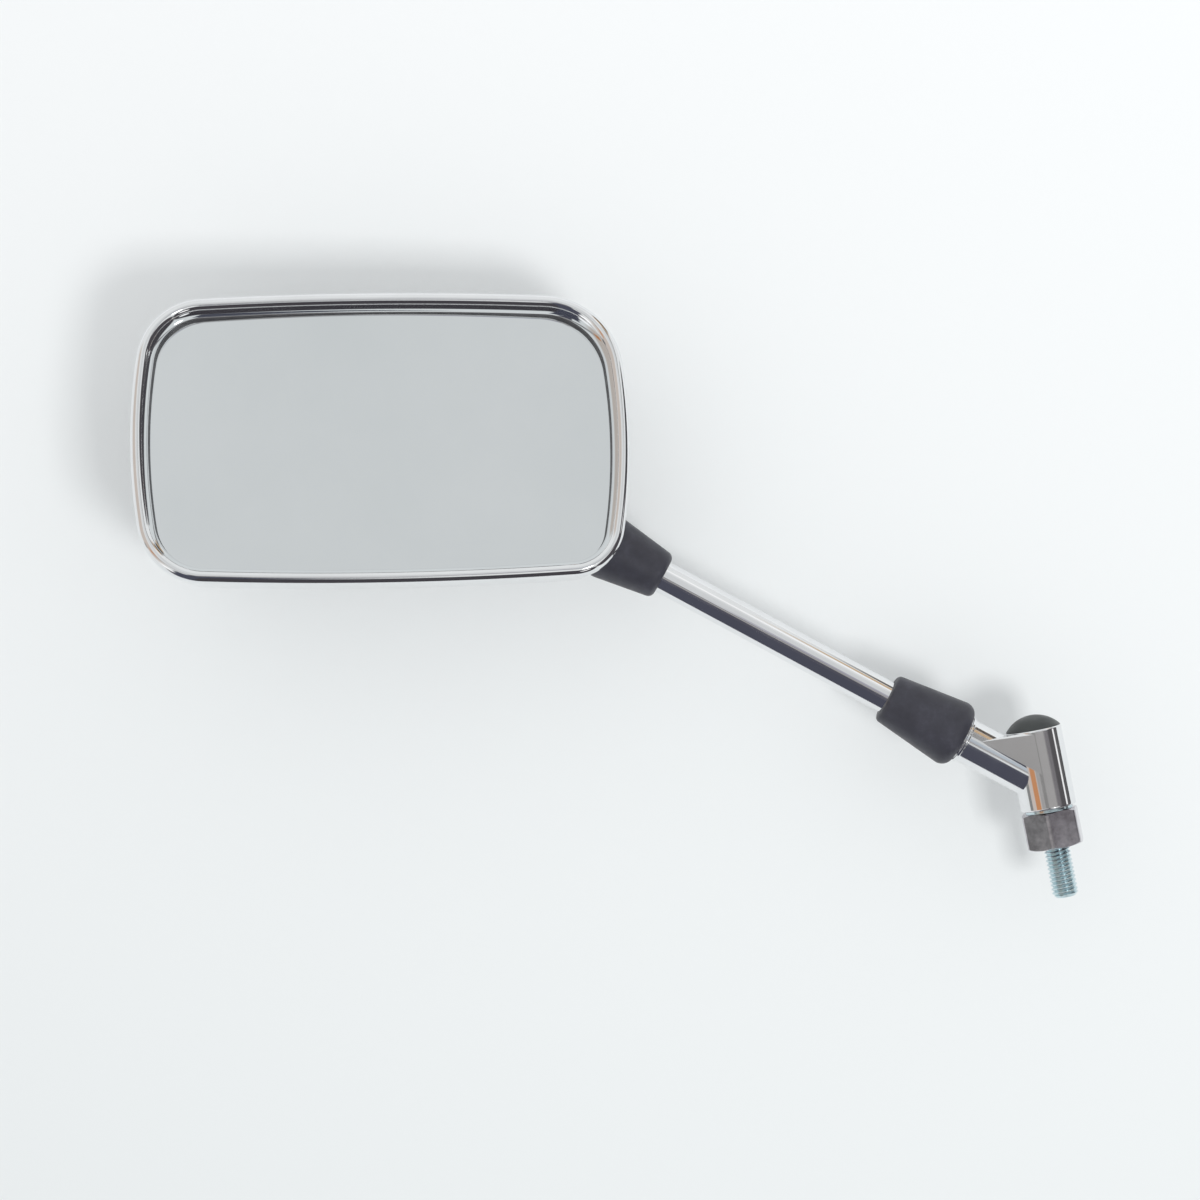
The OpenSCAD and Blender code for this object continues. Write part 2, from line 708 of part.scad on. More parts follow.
// Rubber channel round the edge of the glass, under the bezel's lip
module glass_gasket() {
    outer = glass_in - fix_gap - seal_t;
    inner = bezel_w + seal_show;
    front = -glass_z + fix_gap;
    back = -pad_z - fix_gap;
    color(black) in_head() skin([
        level(outer, back - seal_t, 1),
        level(outer, -seal_z - fix_gap),
        level(inner, -seal_z - fix_gap),
        level(inner, front, 1),
        level(glass_in - fix_gap, front, 1),
        level(glass_in - fix_gap, back, 1),
        level(inner - 1, back, 1),
        level(inner - 1, back - seal_t, 1)], closed = true);
}

// One ring of the glass's face, shrunk toward the centre
function glass_ring(inset, scale, z) =
    [for (p = outline(inset)) let (q = p * scale) [q.x, q.y, z - bow(q)]];

module mirror_glass() {
    color([0.75, 0.8, 0.82]) in_head() skin(concat(
        [for (s = [0.04, 0.4, 0.7, 1]) glass_ring(glass_in, s, -pad_z)],
        [for (s = [1, 0.7, 0.4, 0.04]) glass_ring(glass_in, s, -glass_z)]));
}

// Foam pad that fills between the curved glass and the flat backing plate
module glass_pad() {
    inset = bezel_w + seal_show;
    color([0.3, 0.3, 0.32]) in_head() skin(concat(
        [[for (p = outline(inset)) [p.x, p.y, -plate_z + fix_gap]]],
        [for (s = [1, 0.7, 0.4, 0.04]) glass_ring(inset, s, -pad_z - 0.1)]));
}

// Backing plate that closes the housing behind the glass
module backing_plate() {
    inset = shell_in + shell_t + soft_gap + 0.3;
    color(steel) in_head() translate([0, 0, -plate_z - plate_t]) linear_extrude(plate_t)
        polygon(outline(inset));
}

stud_bolt();
base_nut();
thrust_washer();
pivot_washers();
disc_springs();
arm_casting();
pivot_bush();
barrel_cap();
lock_washer();
lock_nut();
nut_cover();
mirror_stem();
neck_boot();
ball_liner();
housing();
bezel();
glass_gasket();
mirror_glass();
glass_pad();
backing_plate();
socket_bracket();
clamp_plate();
clamp_screws();
clamp_springs();
clamp_nuts();
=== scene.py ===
import math

import bpy
import numpy as np
from mathutils import Matrix, Vector


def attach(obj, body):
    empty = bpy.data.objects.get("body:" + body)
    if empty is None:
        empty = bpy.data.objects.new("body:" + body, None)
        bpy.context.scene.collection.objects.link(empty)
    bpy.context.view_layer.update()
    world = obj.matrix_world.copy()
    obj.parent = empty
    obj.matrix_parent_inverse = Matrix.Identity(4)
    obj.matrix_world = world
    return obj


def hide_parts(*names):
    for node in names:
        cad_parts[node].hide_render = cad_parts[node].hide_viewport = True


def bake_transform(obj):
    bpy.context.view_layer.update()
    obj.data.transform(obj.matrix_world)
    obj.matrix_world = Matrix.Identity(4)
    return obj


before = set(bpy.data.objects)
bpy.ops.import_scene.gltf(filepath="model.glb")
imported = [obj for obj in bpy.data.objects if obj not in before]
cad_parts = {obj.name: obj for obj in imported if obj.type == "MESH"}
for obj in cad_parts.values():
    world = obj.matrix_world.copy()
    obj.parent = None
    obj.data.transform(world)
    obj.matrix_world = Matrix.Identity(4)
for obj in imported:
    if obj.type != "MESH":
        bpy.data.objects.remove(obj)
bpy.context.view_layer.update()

MM = 0.001

# Sizes shared with the construction, in millimetres
THREAD_D, THREAD_L, PITCH = 7.9, 15.5, 1.25
HEX_AF, HEX_H, HEX_TURN = 16.2, 11.2, 15.5
THRUST_T = 0.8
BARREL_D, BARREL_L, NECK_RISE = 17.0, 24.5, 7.9
BARREL_Z = HEX_H + THRUST_T
BARREL_TOP = BARREL_Z + BARREL_L
NECK_Z = BARREL_Z + NECK_RISE
NECK_D, NECK_L, STEM_TILT = 13.7, 29.0, 39.5
BUSH_R, POCKET_R, POCKET_FLOOR = 5.07, 6.8, 10
CAP_H, CAP_PLUG = 4.1, 2
STEM_D, STEM_L, BALL_R = 10.0, 164.0, 6.5
LOCK_WASHER_T, LOCK_H = 1.6, 5
RUN_GAP, FIX_GAP, SOFT_GAP = 0.05, 0.02, 0.3
COVER_L, COVER_D, COVER_TIP_D = 25.9, 20.5, 15.2
COVER_S = NECK_L - 0.8
COVER_ROUND, COVER_GRIP, COVER_MOUTH_R, COVER_INSIDE_R = 3.6, 5, 7.15, 8.05
BOOT_L, BOOT_D, BOOT_TIP_D = 18.6, 19.9, 15.0
BOOT_GRIP, BOOT_WALL, BOOT_LIP, BOOT_INSIDE_L = 6, 1.6, 0.35, 8
SOCKET_REACH = 14
BOOT_S = STEM_L - SOCKET_REACH - BOOT_L
HEAD_W, HEAD_H, HEAD_DEPTH = 147.0, 87.8, 46.0
SIDE_R, TOP_R = 174.0, 1100.0
CORNERS = (24.0, 20.0, 20.0, 15.8)
HEAD_TWIST, STEM_ANGLE = -80.3, 29.7
SOCKET_IN, SOCKET_UP = 17.4, 20.4
SOCKET_X, SOCKET_Y = HEAD_W / 2 - SOCKET_IN, HEAD_H / 2 - SOCKET_UP
BEZEL_T, BEZEL_W, CREST, CREST_IN, LIP, SKIRT = 0.7, 4.9, 1.4, 2.1, 4.3, 4.0
WEB_DROP, WEB_IN, WEB_NECK_IN = 0.4, 0.1, 0.25
GLASS_R, GLASS_UNDER, SEAL_T = 1400.0, 2.1, 0.6
GLASS_IN = BEZEL_W - GLASS_UNDER
GLASS_Z = LIP + SEAL_T
GLASS_T, PAD_T, PLATE_T, PLATE_CLEAR = 3.0, 1.0, 1.2, 0.8
LINER_WALL, CUP_WALL = 1.15, 1.9
SHELL_T, SHOULDER_W, SHOULDER_P, DOME = 0.9, 30.0, 3.0, 1.2

# Sizes of the looks alone: the strip of seal that shows, how far the web's foot is sunk
# in the neck, and the bevel along its top
SEAL_SHOW, WEB_SUNK, WEB_DIP = 0.05, 0.3, 0.9


def bow(x, y):
    """How far the convex glass has fallen at a place."""
    return (x * x + y * y) / (2 * GLASS_R)


GLASS_DROP = 0.9 * bow(HEAD_W / 2 - GLASS_IN, HEAD_H / 2 - GLASS_IN)
SOCKET_R = BALL_R + RUN_GAP + LINER_WALL + RUN_GAP + CUP_WALL
SOCKET_DEPTH = GLASS_Z + GLASS_T + GLASS_DROP + PAD_T + PLATE_T + PLATE_CLEAR + SOCKET_R


# Places in the row's frame
def turn(axis, degrees):
    return Matrix.Rotation(math.radians(degrees), 4, axis)


def shift(x, y, z):
    return Matrix.Translation((x, y, z))


def on_stem(s):
    return shift(0, 0, NECK_Z) @ turn("Y", STEM_TILT - 90) @ shift(0, 0, s)


AT_BALL = on_stem(STEM_L) @ turn("Z", HEAD_TWIST) @ turn("Y", 90)
IN_HEAD = AT_BALL @ turn("Z", STEM_ANGLE) @ shift(-SOCKET_X, SOCKET_Y, SOCKET_DEPTH)
UPRIGHT = Matrix.Identity(4)


# Meshes
def piece(name, verts, faces, place, material, body, slot, replaces=(), sharp=32):
    mesh = bpy.data.meshes.new(name)
    mesh.from_pydata([place @ Vector(v) * MM for v in verts], [], faces)
    mesh.update()
    mesh.shade_smooth()
    mesh.set_sharp_from_angle(angle=math.radians(sharp))
    obj = bpy.data.objects.new(name, mesh)
    bpy.context.scene.collection.objects.link(obj)
    mesh.materials.append(material)
    if replaces:
        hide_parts(*replaces)
    if body:
        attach(obj, body)
    return obj


def skin(rings, closed=False):
    """Joins rings of equal length, end to end if closed, else with a face at both ends."""
    n, m = len(rings[0]), len(rings)
    verts = [tuple(p) for ring in rings for p in ring]
    faces = [
        (j * n + k, j * n + (k + 1) % n, (j + 1) % m * n + (k + 1) % n, (j + 1) % m * n + k)
        for j in range(m if closed else m - 1)
        for k in range(n)
    ]
    if not closed:
        faces.append(tuple(range(n - 1, -1, -1)))
        faces.append(tuple((m - 1) * n + k for k in range(n)))
    return verts, faces


GUARD, GUARD_MIN = 0.12, 0.02


def rounded(points, radii, steps=6, closed=False):
    """A polyline with each corner replaced by an arc of its radius.

    A guard point on each side keeps the shading of the long faces straight.
    """
    out = []
    count = len(points)
    for i, (p, r) in enumerate(zip(points, radii)):
        ends = not closed and i in (0, count - 1)
        if r <= 0 or ends:
            out.append(tuple(p))
            continue
        p = Vector(p)
        a = Vector(points[i - 1]) - p
        b = Vector(points[(i + 1) % count]) - p
        half = a.angle(b) / 2
        spans = a.length, b.length
        cut = min(r / math.tan(half), 0.49 * min(spans))
        r = cut * math.tan(half)
        a.normalize()
        b.normalize()
        guards = [min(GUARD, 0.45 * span - cut) for span in spans]
        centre = p + (a + b).normalized() * (r / math.sin(half))
        start, stop = p + a * cut - centre, p + b * cut - centre
        sweep = start.angle(stop)
        if guards[0] > GUARD_MIN:
            out.append(tuple(p + a * (cut + guards[0])))
        for k in range(steps + 1):
            t = k / steps
            q = (start * math.sin((1 - t) * sweep) + stop * math.sin(t * sweep)) / math.sin(sweep)
            out.append(tuple(centre + q))
        if guards[1] > GUARD_MIN:
            out.append(tuple(p + b * (cut + guards[1])))
    return out


def lathe(profile, segments=128, closed=True):
    """Rings about Z of a profile of (radius, height) points."""
    angles = [2 * math.pi * k / segments for k in range(segments)]
    rings = [[(r * math.cos(a), r * math.sin(a), z) for a in angles] for r, z in profile]
    verts, faces = skin(rings, closed)
    return verts, [tuple(reversed(f)) for f in faces]


def join(*parts):
    verts, faces = [], []
    for v, f in parts:
        base = len(verts)
        verts += list(v)
        faces += [tuple(i + base for i in q) for q in f]
    return verts, faces


def moved(part, place):
    return [tuple(place @ Vector(v)) for v in part[0]], part[1]


# The head's outline, as in the construction, with more points
SIDE_N, CORNER_N, TOP_N = 10, 26, 16
QUARTER_N = SIDE_N + CORNER_N + TOP_N


def quarter(a, b, rs, rt, rc):
    """Half sides a and b, with the radii of the side, the top and the corner between."""
    x0, y1, r0, r1 = a - rs, b - rt, rs - rc, rt - rc
    d = math.hypot(x0, y1)
    m = (r0 * r0 - r1 * r1 + d * d) / (2 * d)
    q = math.sqrt(r0 * r0 - m * m)
    cx, cy = x0 - m * x0 / d - q * y1 / d, m * y1 / d - q * x0 / d
    f1, f2 = math.atan2(cy, cx - x0), math.atan2(cy - y1, cx)
    out = []
    for k in range(QUARTER_N + 1):
        if k <= SIDE_N:
            f, c, r = f1 * k / SIDE_N, (x0, 0), rs
        elif k <= SIDE_N + CORNER_N:
            f, c, r = f1 + (f2 - f1) * (k - SIDE_N) / CORNER_N, (cx, cy), rc
        else:
            f = f2 + (math.pi / 2 - f2) * (k - SIDE_N - CORNER_N) / TOP_N
            c, r = (0, y1), rt
        out.append((c[0] + r * math.cos(f), c[1] + r * math.sin(f)))
    return out


def outline(inset, soft=False):
    """The head's outline, moved in; soft keeps a rounder corner far in."""
    quarters = []
    for rc in CORNERS:
        corner = rc * rc / (rc + inset) if soft else rc - inset
        quarters.append(
            quarter(HEAD_W / 2 - inset, HEAD_H / 2 - inset, SIDE_R - inset, TOP_R - inset, corner)
        )
    ne, nw, sw, se = quarters
    n = QUARTER_N
    return (
        [(ne[k][0], ne[k][1]) for k in range(n)]
        + [(-nw[k][0], nw[k][1]) for k in range(n, 0, -1)]
        + [(-sw[k][0], -sw[k][1]) for k in range(n)]
        + [(se[k][0], -se[k][1]) for k in range(n, 0, -1)]
    )


def level(inset, z, follow=0, scale=1.0):
    """A ring of the outline at a depth, which can follow the bow of the glass."""
    return [
        (x * scale, y * scale, z - follow * bow(x * scale, y * scale)) for x, y in outline(inset)
    ]


# Materials
def material(name, color, metallic, roughness):
    mat = bpy.data.materials.new(name)
    mat.use_nodes = True
    shader = mat.node_tree.nodes["Principled BSDF"]
    shader.inputs["Base Color"].default_value = (*color, 1)
    shader.inputs["Metallic"].default_value = metallic
    shader.inputs["Roughness"].default_value = roughness
    return mat


def noise(mat, scale, detail=4.0, fine=0.6):
    nodes, links = mat.node_tree.nodes, mat.node_tree.links
    where = nodes.new("ShaderNodeTexCoord")
    tex = nodes.new("ShaderNodeTexNoise")
    tex.inputs["Scale"].default_value = scale
    tex.inputs["Detail"].default_value = detail
    tex.inputs["Roughness"].default_value = fine
    links.new(where.outputs["Object"], tex.inputs["Vector"])
    return tex.outputs["Fac"]


def spread(mat, source, low, high, start=0.35, end=0.65):
    nodes, links = mat.node_tree.nodes, mat.node_tree.links
    node = nodes.new("ShaderNodeMapRange")
    node.inputs["From Min"].default_value = start
    node.inputs["From Max"].default_value = end
    node.inputs["To Min"].default_value = low
    node.inputs["To Max"].default_value = high
    links.new(source, node.inputs["Value"])
    return node.outputs["Result"]


def tint(mat, source, stops):
    nodes, links = mat.node_tree.nodes, mat.node_tree.links
    ramp = nodes.new("ShaderNodeValToRGB")
    while len(ramp.color_ramp.elements) < len(stops):
        ramp.color_ramp.elements.new(0.5)
    for element, (place, color) in zip(ramp.color_ramp.elements, stops):
        element.position = place
        element.color = (*color, 1)
    links.new(source, ramp.inputs["Fac"])
    links.new(ramp.outputs["Color"], nodes["Principled BSDF"].inputs["Base Color"])


def rough(mat, source):
    mat.node_tree.links.new(source, mat.node_tree.nodes["Principled BSDF"].inputs["Roughness"])


def bump(mat, source, strength, distance):
    nodes, links = mat.node_tree.nodes, mat.node_tree.links
    node = nodes.new("ShaderNodeBump")
    node.inputs["Strength"].default_value = strength
    node.inputs["Distance"].default_value = distance
    links.new(source, node.inputs["Height"])
    links.new(node.outputs["Normal"], nodes["Principled BSDF"].inputs["Normal"])


def chrome_material(name, color=(0.86, 0.865, 0.875), low=0.035, high=0.09, wave=0.00002):
    mat = material(name, color, 1.0, 0.05)
    rough(mat, spread(mat, noise(mat, 90, 6), low, high))
    tint(mat, noise(mat, 60, 5), [(0.3, tuple(c * 0.95 for c in color)), (0.62, color)])
    bump(mat, noise(mat, 45, 3), 0.25, wave)
    return mat


def rubber_material(name, color, low=0.4, high=0.52):
    mat = material(name, color, 0.0, 0.6)
    mat.node_tree.nodes["Principled BSDF"].inputs["Specular IOR Level"].default_value = 0.42
    rough(mat, spread(mat, noise(mat, 300, 5), low, high))
    tint(
        mat,
        noise(mat, 160, 8, 0.7),
        [
            (0.32, tuple(c * 0.78 for c in color)),
            (0.55, color),
            (0.78, tuple(c * 1.5 for c in color)),
        ],
    )
    bump(mat, noise(mat, 2600, 4), 0.35, 0.00005)
    return mat


CHROME = chrome_material("chrome_plate")
CAST_CHROME = chrome_material("chrome_on_casting", low=0.05, high=0.12, wave=0.00004)
# Painted shade: the hexagon's chrome has a darker base colour than the other chrome, standing in
# for the darker reflection its faces show. The mottle over it is the plating's own uneven tone.
SHADED_HEX_CHROME = chrome_material("shaded_chrome_on_hexagon", (0.62, 0.6, 0.63), 0.06, 0.16, 0.00006)
tint(
    SHADED_HEX_CHROME,
    noise(SHADED_HEX_CHROME, 420, 6, 0.7),
    [(0.36, (0.5, 0.48, 0.51)), (0.5, (0.6, 0.58, 0.61)), (0.66, (0.7, 0.68, 0.72))],
)
RUBBER = rubber_material("black_rubber", (0.041, 0.041, 0.054))
CAP = rubber_material("cap_plastic", (0.045, 0.05, 0.05), 0.32, 0.45)
SEAL = rubber_material("seal_rubber", (0.06, 0.058, 0.064))

MIRROR = material("silvered_glass", (0.8, 0.83, 0.84), 1.0, 0.02)
rough(MIRROR, spread(MIRROR, noise(MIRROR, 25, 6), 0.012, 0.05))
tint(MIRROR, noise(MIRROR, 14, 5), [(0.35, (0.78, 0.81, 0.82)), (0.65, (0.82, 0.845, 0.855))])

ZINC = material("zinc_plate", (0.5, 0.62, 0.66), 1.0, 0.25)
rough(ZINC, spread(ZINC, noise(ZINC, 400, 5), 0.12, 0.2))
tint(
    ZINC,
    noise(ZINC, 220, 6),
    [(0.3, (0.54, 0.66, 0.7)), (0.5, (0.6, 0.72, 0.76)), (0.7, (0.66, 0.77, 0.8))],
)
bump(ZINC, noise(ZINC, 1500, 4), 0.05, 0.00002)

STEEL = material("spring_steel", (0.4, 0.41, 0.43), 1.0, 0.4)
rough(STEEL, spread(STEEL, noise(STEEL, 300, 4), 0.3, 0.5))
tint(STEEL, noise(STEEL, 200, 5), [(0.35, (0.33, 0.34, 0.36)), (0.65, (0.45, 0.46, 0.48))])
BRASS = material("bush_brass", (0.72, 0.56, 0.28), 1.0, 0.35)
rough(BRASS, spread(BRASS, noise(BRASS, 300, 4), 0.25, 0.45))
tint(BRASS, noise(BRASS, 200, 5), [(0.35, (0.62, 0.47, 0.22)), (0.65, (0.76, 0.6, 0.32))])
NYLON = material("white_nylon", (0.8, 0.8, 0.75), 0.0, 0.45)
rough(NYLON, spread(NYLON, noise(NYLON, 300, 4), 0.38, 0.55))
tint(NYLON, noise(NYLON, 120, 5), [(0.35, (0.74, 0.74, 0.68)), (0.65, (0.84, 0.84, 0.79))])
FOAM = material("grey_foam", (0.2, 0.2, 0.22), 0.0, 0.95)
tint(FOAM, noise(FOAM, 900, 5), [(0.35, (0.1, 0.1, 0.11)), (0.65, (0.26, 0.26, 0.28))])
bump(FOAM, noise(FOAM, 1200, 4), 0.8, 0.0002)

NODE_MATERIALS = {
    "stud_bolt": ZINC, "base_nut": SHADED_HEX_CHROME, "thrust_washer": ZINC, "pivot_washers": ZINC,
    "disc_springs": STEEL, "arm_casting": CAST_CHROME, "pivot_bush": BRASS, "barrel_cap": CAP,
    "lock_washer": ZINC, "lock_nut": ZINC, "nut_cover": RUBBER, "mirror_stem": CHROME,
    "neck_boot": RUBBER, "ball_liner": NYLON, "housing": CHROME, "bezel": CHROME,
    "glass_gasket": SEAL, "mirror_glass": MIRROR, "glass_pad": FOAM, "backing_plate": ZINC,
    "socket_bracket": ZINC, "clamp_plate": ZINC, "clamp_screws": ZINC, "clamp_springs": STEEL,
    "clamp_nuts": ZINC,
}
for node_name, node_material in NODE_MATERIALS.items():
    for material_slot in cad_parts[node_name].material_slots:
        material_slot.material = node_material


# Bezel, housing, glass and seal
def arc(cx, cz, rx, rz, a, b, steps):
    """Part of an ellipse from angle a to b, counted from the outer side upward."""
    return [
        (cx - rx * math.cos(math.radians(a + (b - a) * k / steps)),
         cz + rz * math.sin(math.radians(a + (b - a) * k / steps)))
        for k in range(steps + 1)
    ]


SIDE_FOOT, LIP_MORE = 1.2, 0.4
side_rise, lip_rise, lip_in = CREST + SIDE_FOOT, CREST + LIP, BEZEL_W - CREST_IN
bead = (
    [(0, -SKIRT)]
    + arc(CREST_IN, -SIDE_FOOT, CREST_IN, side_rise, 0, 90, 12)
    + arc(CREST_IN, -LIP, lip_in, lip_rise, 93, 180, 16)
    + [(BEZEL_W, -LIP - LIP_MORE), (BEZEL_W - BEZEL_T, -LIP - LIP_MORE)]
    + arc(CREST_IN, -LIP, lip_in - BEZEL_T, lip_rise - BEZEL_T, 180, 93, 10)
    + arc(CREST_IN, -SIDE_FOOT, CREST_IN - BEZEL_T, side_rise - BEZEL_T, 90, 0, 8)
    + [(BEZEL_T, -SKIRT)]
)
verts, faces = skin([level(i, z) for i, z in bead], closed=True)
piece("chrome_bezel", verts, faces, IN_HEAD, CHROME, "head", "chrome_plate", ["bezel"])

SHELL_IN, RIM, SHELL_STEPS = BEZEL_T + 0.2, 0.7, 26


def shell_ring(k, wall):
    f = math.pi / 2 * k / SHELL_STEPS
    deep = HEAD_DEPTH - wall - RIM
    d = RIM + deep * math.sin(f) ** (2 / SHOULDER_P)
    i = SHELL_IN + wall + SHOULDER_W * (1 - abs(math.cos(f)) ** (2 / SHOULDER_P))
    return [(x, y, -d) for x, y in outline(i, True)]


def back_ring(scale):
    flat = outline(SHELL_IN + SHOULDER_W, True)
    return [(x * scale, y * scale, -HEAD_DEPTH - DOME * (1 - scale * scale)) for x, y in flat]


rings = [back_ring(s) for s in (0.02, 0.15, 0.3, 0.45, 0.6, 0.75, 0.9)]
rings += [shell_ring(k, 0) for k in range(SHELL_STEPS, -1, -1)]
rings += [shell_ring(k, SHELL_T) for k in range(SHELL_STEPS + 1)]
verts, faces = skin(rings)
shell = piece(
    "housing_shell", verts, faces, IN_HEAD, CHROME, "head", "chrome_plate", ["housing"]
)

# The opening for the boot
DRILL_L = 26.6
drill_r = BOOT_D / 2 + RUN_GAP
verts, faces = lathe([(drill_r, 0), (drill_r, DRILL_L)], closed=False)
drill_mesh = bpy.data.meshes.new("drill")
drill_mesh.from_pydata([on_stem(BOOT_S) @ Vector(v) * MM for v in verts], [], faces)
drill = bpy.data.objects.new("drill", drill_mesh)
bpy.context.scene.collection.objects.link(drill)
cut = shell.modifiers.new("opening", "BOOLEAN")
cut.object = drill
cut.operation = "DIFFERENCE"
cut.solver = "EXACT"
bpy.context.view_layer.update()
depsgraph = bpy.context.evaluated_depsgraph_get()
holed = bpy.data.meshes.new_from_object(shell.evaluated_get(depsgraph))
shell.modifiers.clear()
shell.data = holed
bpy.data.objects.remove(drill)

EDGE = 0.35
glass_back = GLASS_Z + GLASS_T
rings = [level(GLASS_IN + EDGE, -GLASS_Z, 1, s) for s in np.linspace(0.01, 1, 22)]
rings += [level(GLASS_IN, -GLASS_Z - EDGE, 1), level(GLASS_IN, -glass_back + EDGE, 1)]
rings += [level(GLASS_IN + EDGE, -glass_back, 1, s) for s in (1, 0.7, 0.4, 0.01)]
verts, faces = skin(rings)
piece(
    "silvered_glass", verts, [tuple(reversed(f)) for f in faces], IN_HEAD, MIRROR, "head",
    "mirror_face", ["mirror_glass"],
)

SEAL_BEVEL, SEAL_BACK_SHORT = 0.2, 1
seal_outer, seal_inner = GLASS_IN - FIX_GAP - SEAL_T, BEZEL_W + SEAL_SHOW
seal_back = glass_back + FIX_GAP
seal = [
    level(seal_outer, -seal_back - SEAL_T, 1),
    level(seal_outer, -LIP - FIX_GAP),
    level(seal_inner - SEAL_BEVEL, -LIP - FIX_GAP),
    level(seal_inner, -LIP - SEAL_BEVEL),
    level(seal_inner, -GLASS_Z + FIX_GAP, 1),
    level(GLASS_IN - FIX_GAP, -GLASS_Z + FIX_GAP, 1),
    level(GLASS_IN - FIX_GAP, -seal_back, 1),
    level(seal_inner - SEAL_BACK_SHORT, -seal_back, 1),
    level(seal_inner - SEAL_BACK_SHORT, -seal_back - SEAL_T, 1),
]
verts, faces = skin(seal, closed=True)
piece("edge_seal", verts, faces, IN_HEAD, SEAL, "head", "black_rubber", ["glass_gasket"])

# Stem: the held thread, the lock nut's place, the rod, the waist and the ball
AXIS_R, HELD_R, THREAD_R, WAIST_R = 0.02, 3.65, 4.0, 3.9
thread_s, lock_s = 14.3, NECK_L + LOCK_WASHER_T
nut_end_s = lock_s + LOCK_H
rod_s, waist_s, stem_r = nut_end_s + 1, STEM_L - SOCKET_REACH, STEM_D / 2
stem_profile = rounded(
    [(AXIS_R, thread_s), (HELD_R, thread_s), (HELD_R, NECK_L), (THREAD_R, NECK_L),
     (THREAD_R, lock_s), (HELD_R, lock_s), (HELD_R, nut_end_s), (THREAD_R, nut_end_s),
     (THREAD_R, rod_s), (stem_r, rod_s + 1), (stem_r, waist_s - 1), (WAIST_R, waist_s),
     (WAIST_R, STEM_L - 5.2)],
    [0, 0.2, 0, 0, 0, 0, 0, 0, 0, 0.3, 0.4, 0.3, 0], 4)
ball_arc = [
    (BALL_R * math.sin(math.radians(a)), STEM_L - BALL_R * math.cos(math.radians(a)))
    for a in np.linspace(36.87, 179.8, 30)
]
verts, faces = lathe(stem_profile + ball_arc, closed=False)
piece("plated_stem", verts, faces, on_stem(0), CHROME, "stem", "chrome_plate", ["mirror_stem"])

# Rubber cover over the lock nut
r, tip = COVER_D / 2, COVER_TIP_D / 2
grip_r = stem_r + RUN_GAP
mouth_end = COVER_MOUTH_R + 0.1
foot_w = r - mouth_end
cover_foot = [
    (r - foot_w * (1 - math.sin(math.radians(f))), COVER_ROUND * (1 - math.cos(math.radians(f))))
    for f in np.linspace(4, 90, 12)
]
cover_profile = rounded(
    [(COVER_MOUTH_R, 0), (mouth_end, 0)] + cover_foot + [(tip, COVER_L), (grip_r, COVER_L),
     (grip_r, COVER_L - COVER_GRIP), (COVER_INSIDE_R, 8.4), (COVER_INSIDE_R, 2.4),
     (COVER_MOUTH_R, 1.4)],
    [0] * (2 + len(cover_foot)) + [1.5, 0.3, 0, 0, 0, 0], 8, closed=True)
verts, faces = lathe(cover_profile)
piece("rubber_cover", verts, faces, on_stem(COVER_S), RUBBER, "cover", "black_rubber",
      ["nut_cover"])

# Rubber boot
r, tip = BOOT_D / 2, BOOT_TIP_D / 2
BOOT_END_R, BOOT_HOLLOW_S = 2.2, 2.6
boot_end = [
    (tip - BOOT_END_R * (1 - math.sin(math.radians(f))),
     BOOT_END_R * (1 - math.cos(math.radians(f))))
    for f in np.linspace(0, 80, 9)
]
lip_r, inside_r, boot_top = r + BOOT_LIP, r - BOOT_WALL, BOOT_L + BOOT_INSIDE_L
boot_profile = rounded(
    [(grip_r, 0)] + boot_end + [(r, BOOT_L), (r, BOOT_L + 6.2), (lip_r, BOOT_L + 6.6),
     (lip_r, boot_top), (inside_r, boot_top), (inside_r, BOOT_L - 3), (grip_r, BOOT_HOLLOW_S)],
    [0.1] + [0] * len(boot_end) + [6.0, 0, 0, 0.2, 0.2, 3, 0], 8, closed=True)


def divided(profile, longest):
    """The closed profile with long edges cut up into short ones."""
    out = []
    for i, p in enumerate(profile):
        q = profile[(i + 1) % len(profile)]
        cuts = max(1, int(math.hypot(q[0] - p[0], q[1] - p[1]) / longest))
        out += [(p[0] + (q[0] - p[0]) * k / cuts, p[1] + (q[1] - p[1]) * k / cuts)
                for k in range(cuts)]
    return out


verts, faces = lathe(divided(boot_profile, 0.8))
boot = piece("rubber_boot", verts, faces, on_stem(BOOT_S), RUBBER, None, "black_rubber",
             ["neck_boot"])
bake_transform(boot)

# Casting: barrel, neck, collar and web
barrel_r, neck_r = BARREL_D / 2, NECK_D / 2
floor_z, under_floor_z = BARREL_Z + POCKET_FLOOR, BARREL_Z + POCKET_FLOOR - 0.2
barrel = rounded(
    [(AXIS_R, under_floor_z), (BUSH_R, under_floor_z), (BUSH_R, BARREL_Z), (barrel_r, BARREL_Z),
     (barrel_r, BARREL_TOP), (POCKET_R, BARREL_TOP), (POCKET_R, floor_z), (AXIS_R, floor_z)],
    [0, 0, 0.2, 0.5, 0.6, 0.2, 0, 0], 6)
COLLAR_R, COLLAR_S, COLLAR_END_S = 7.3, NECK_L - 2.0, NECK_L - 1.1
hole_r, hole_s = THREAD_R - 0.3, NECK_L - 15
neck = rounded(
    [(AXIS_R, 3), (neck_r, 3), (neck_r, COLLAR_S), (COLLAR_R, COLLAR_S),
     (COLLAR_R, COLLAR_END_S), (neck_r, COLLAR_END_S), (neck_r, NECK_L), (hole_r, NECK_L),
     (hole_r, hole_s), (AXIS_R, hole_s)],
    [0, 0, 0.3, 0.4, 0.4, 0, 0.2, 0.2, 0, 0], 6)
web_top = BARREL_TOP - WEB_DROP
wide, narrow = barrel_r - WEB_IN, neck_r - WEB_NECK_IN
web_root = math.sqrt(barrel_r ** 2 - wide ** 2)
web_foot = NECK_Z + (
    math.sqrt(neck_r ** 2 - narrow ** 2) - WEB_SUNK) / math.cos(math.radians(STEM_TILT))
slope = math.tan(math.radians(STEM_TILT))
